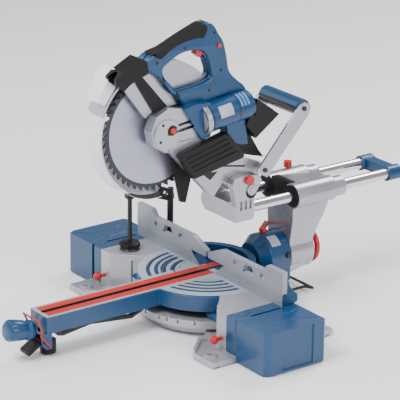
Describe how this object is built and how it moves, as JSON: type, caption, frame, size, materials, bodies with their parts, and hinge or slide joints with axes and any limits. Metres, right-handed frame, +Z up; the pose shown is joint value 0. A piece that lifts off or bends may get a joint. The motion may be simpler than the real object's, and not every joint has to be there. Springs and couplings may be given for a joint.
{
  "type": "sliding compound mitre saw",
  "caption": "Cordless sliding mitre saw: head on two rails over a turntable, fences and pull-out table ends, standing on a bench base.",
  "frame": {"origin": "bench plane under the turntable axis, which is within a few mm of the middle of the bounding box's bottom face; the fence face is y = 0", "axes": "+X to the operator's right, +Y away from the operator along the slide rails, +Z up"},
  "size_m": [0.703, 0.9768, 0.6353],
  "materials": {
    "light_casting": "satin",
    "silver_paint": "satin",
    "blue_paint": "satin",
    "blue_plastic": "satin",
    "black_plastic": "matte",
    "black_rubber": "matte",
    "red_plastic": "gloss",
    "kerf_plastic": "satin",
    "chrome_rail": "polished",
    "steel": "satin",
    "black_steel": "satin",
    "guard_plastic": "satin",
    "blade_steel": "satin"
  },
  "bodies": {
    "base": {"base_casting": "light_casting", "end_caps": "blue_paint", "rubber_feet": "black_rubber", "fence_casting": "light_casting"},
    "rear_support": {"rear_support_wire": "black_steel"},
    "extension_right": {"extension_right": "blue_paint"},
    "extension_left": {"extension_left": "blue_paint"},
    "extension_lock_right": {"extension_lock_right": "red_plastic"},
    "extension_lock_left": {"extension_lock_left": "red_plastic"},
    "sliding_fence_right": {"sliding_fence_right": "silver_paint"},
    "sliding_fence_left": {"sliding_fence_left": "silver_paint"},
    "turntable": {"turntable": "blue_paint", "turntable_top": "light_casting", "kerf_plates": "kerf_plastic", "kerf_screws": "steel", "detent_bar": "black_steel"},
    "mitre_knob": {"mitre_knob": "blue_plastic"},
    "detent_fork": {"detent_fork": "red_plastic"},
    "detent_lever": {"detent_lever": "black_plastic"},
    "arm_foot": {"arm_foot": "black_plastic"},
    "bevel_lever": {"bevel_lever": "red_plastic"},
    "bevel_arm": {"bevel_arm": "silver_paint", "slide_carriage": "silver_paint", "slide_bushes": "black_plastic"},
    "bevel_handle": {"bevel_handle": "red_plastic"},
    "slide_lock_knob": {"slide_lock_knob": "red_plastic"},
    "slide": {"slide_rails": "chrome_rail", "head_support": "silver_paint", "rail_cap": "blue_plastic", "pivot_shaft": "steel", "return_spring": "steel"},
    "transport_pin": {"transport_pin": "red_plastic"},
    "head": {"swing_arm": "silver_paint", "gearcase": "silver_paint", "motor_housing": "blue_plastic", "ribbed_cover": "black_plastic", "blade_housing": "silver_paint", "front_shield": "guard_plastic", "chip_deflector": "black_rubber", "guard_bracket": "silver_paint", "dust_duct": "black_plastic", "dust_chute": "black_plastic", "handle_shell_right": "blue_plastic", "handle_shell_left": "blue_plastic", "handle_grip": "black_rubber", "battery_shoe": "black_plastic", "battery_latch": "black_plastic", "carry_brackets": "silver_paint", "carry_handle": "blue_plastic", "head_screws": "black_steel"},
    "motor_armature": {"motor_armature": "steel"},
    "trigger": {"trigger": "red_plastic"},
    "lock_off_button": {"lock_off_button": "red_plastic"},
    "spindle_lock": {"spindle_lock": "red_plastic"},
    "blade": {"blade": "blade_steel", "blade_flanges": "steel", "spindle": "steel"},
    "lower_guard": {"lower_guard": "guard_plastic"},
    "clamp_arm": {"clamp_arm": "steel"},
    "clamp_screw": {"clamp_screw": "black_steel"}
  },
  "joints": [
    {"name": "mitre_swivel", "type": "hinge", "parent": "base", "child": "turntable", "pos_m": [0, 0, 0.06], "axis": [0, 0, -1], "range_deg": [-50, 50]},
    {"name": "rear_support_pull", "type": "slide", "parent": "base", "child": "rear_support", "axis": [0, -1, 0], "range_m": [0, 0.05]},
    {"name": "extension_right_pull", "type": "slide", "parent": "base", "child": "extension_right", "axis": [1, 0, 0], "range_m": [0, 0.12]},
    {"name": "extension_left_pull", "type": "slide", "parent": "base", "child": "extension_left", "axis": [-1, 0, 0], "range_m": [0, 0.12]},
    {"name": "extension_lock_right_turn", "type": "hinge", "parent": "base", "child": "extension_lock_right", "pos_m": [0.208, -0.116, 0.038], "axis": [0, 1, 0], "range_deg": [-90, 90]},
    {"name": "extension_lock_left_turn", "type": "hinge", "parent": "base", "child": "extension_lock_left", "pos_m": [-0.208, -0.116, 0.038], "axis": [0, 1, 0], "range_deg": [-90, 90]},
    {"name": "fence_right_slide", "type": "slide", "parent": "base", "child": "sliding_fence_right", "axis": [1, 0, 0], "range_m": [0, 0.115]},
    {"name": "fence_left_slide", "type": "slide", "parent": "base", "child": "sliding_fence_left", "axis": [-1, 0, 0], "range_m": [0, 0.115]},
    {"name": "mitre_knob_turn", "type": "hinge", "parent": "turntable", "child": "mitre_knob", "pos_m": [0, -0.415, 0.0555], "axis": [0, -0.9799, 0.1994], "range_deg": [-120, 120]},
    {"name": "detent_fork_press", "type": "hinge", "parent": "turntable", "child": "detent_fork", "pos_m": [0, -0.405, 0.024], "axis": [-1, 0, 0], "range_deg": [0, 3]},
    {"name": "detent_lever_press", "type": "hinge", "parent": "turntable", "child": "detent_lever", "pos_m": [0, -0.416, 0.034], "axis": [1, 0, 0], "range_deg": [0, 12]},
    {"name": "arm_foot_turn", "type": "hinge", "parent": "turntable", "child": "arm_foot", "pos_m": [0, -0.394, 0.03], "axis": [0, 0, 1], "range_deg": [-180, 180]},
    {"name": "bevel_lever_turn", "type": "hinge", "parent": "turntable", "child": "bevel_lever", "pos_m": [-0.004, 0.15, 0.146], "axis": [0, 0, 1], "range_deg": [0, 12]},
    {"name": "bevel_tilt", "type": "hinge", "parent": "turntable", "child": "bevel_arm", "pos_m": [0, 0.166, 0.0915], "axis": [0, -1, 0], "range_deg": [-47, 47]},
    {"name": "bevel_handle_turn", "type": "hinge", "parent": "bevel_arm", "child": "bevel_handle", "pos_m": [0, 0.25, 0.0915], "axis": [0, 1, 0], "range_deg": [-30, 30]},
    {"name": "slide_lock_turn", "type": "hinge", "parent": "bevel_arm", "child": "slide_lock_knob", "pos_m": [-0.05, 0.25, 0.25], "axis": [0, 0, 1], "range_deg": [-180, 180]},
    {"name": "head_slide", "type": "slide", "parent": "bevel_arm", "child": "slide", "axis": [0, -1, 0], "range_m": [-0.112, 0.117]},
    {"name": "transport_pin_pull", "type": "slide", "parent": "slide", "child": "transport_pin", "axis": [1, 0, 0], "range_m": [0, 0.012]},
    {"name": "head_swing", "type": "hinge", "parent": "slide", "child": "head", "pos_m": [0, 0.0655, 0.276], "axis": [1, 0, 0], "range_deg": [0, 54]},
    {"name": "armature_spin", "type": "hinge", "parent": "head", "child": "motor_armature", "pos_m": [0.036, -0.05, 0.437], "axis": [0, 0.9925, 0.1219], "continuous": true},
    {"name": "blade_spin", "type": "hinge", "parent": "head", "child": "blade", "pos_m": [0, -0.135, 0.422], "axis": [1, 0, 0], "continuous": true},
    {"name": "lower_guard_swing", "type": "hinge", "parent": "head", "child": "lower_guard", "pos_m": [-0.012, -0.135, 0.422], "axis": [1, 0, 0], "range_deg": [-120, 1]},
    {"name": "trigger_pull", "type": "slide", "parent": "head", "child": "trigger", "axis": [0, 0, 1], "range_m": [0, 0.006], "stiffness_N_per_m": 300, "springref_m": -0.001},
    {"name": "lock_off_press", "type": "slide", "parent": "head", "child": "lock_off_button", "axis": [-1, 0, 0], "range_m": [0, 0.0025], "stiffness_N_per_m": 300, "springref_m": -0.001},
    {"name": "spindle_lock_press", "type": "slide", "parent": "head", "child": "spindle_lock", "axis": [-1, 0, 0], "range_m": [0, 0.003], "stiffness_N_per_m": 300, "springref_m": -0.001},
    {"name": "clamp_swivel", "type": "hinge", "parent": "base", "child": "clamp_arm", "pos_m": [-0.19, 0.042, 0.14], "axis": [0, 0, -1], "range_deg": [-25, 100]},
    {"name": "clamp_screw_feed", "type": "slide", "parent": "clamp_arm", "child": "clamp_screw", "axis": [0, 0, 1], "range_m": [0, 0.045]}
  ],
  "couplings": [
    {"joint": "lower_guard_swing", "follows": "head_swing", "ratio": -2.2},
    {"joint": "armature_spin", "follows": "blade_spin", "ratio": 3.8}
  ]
}
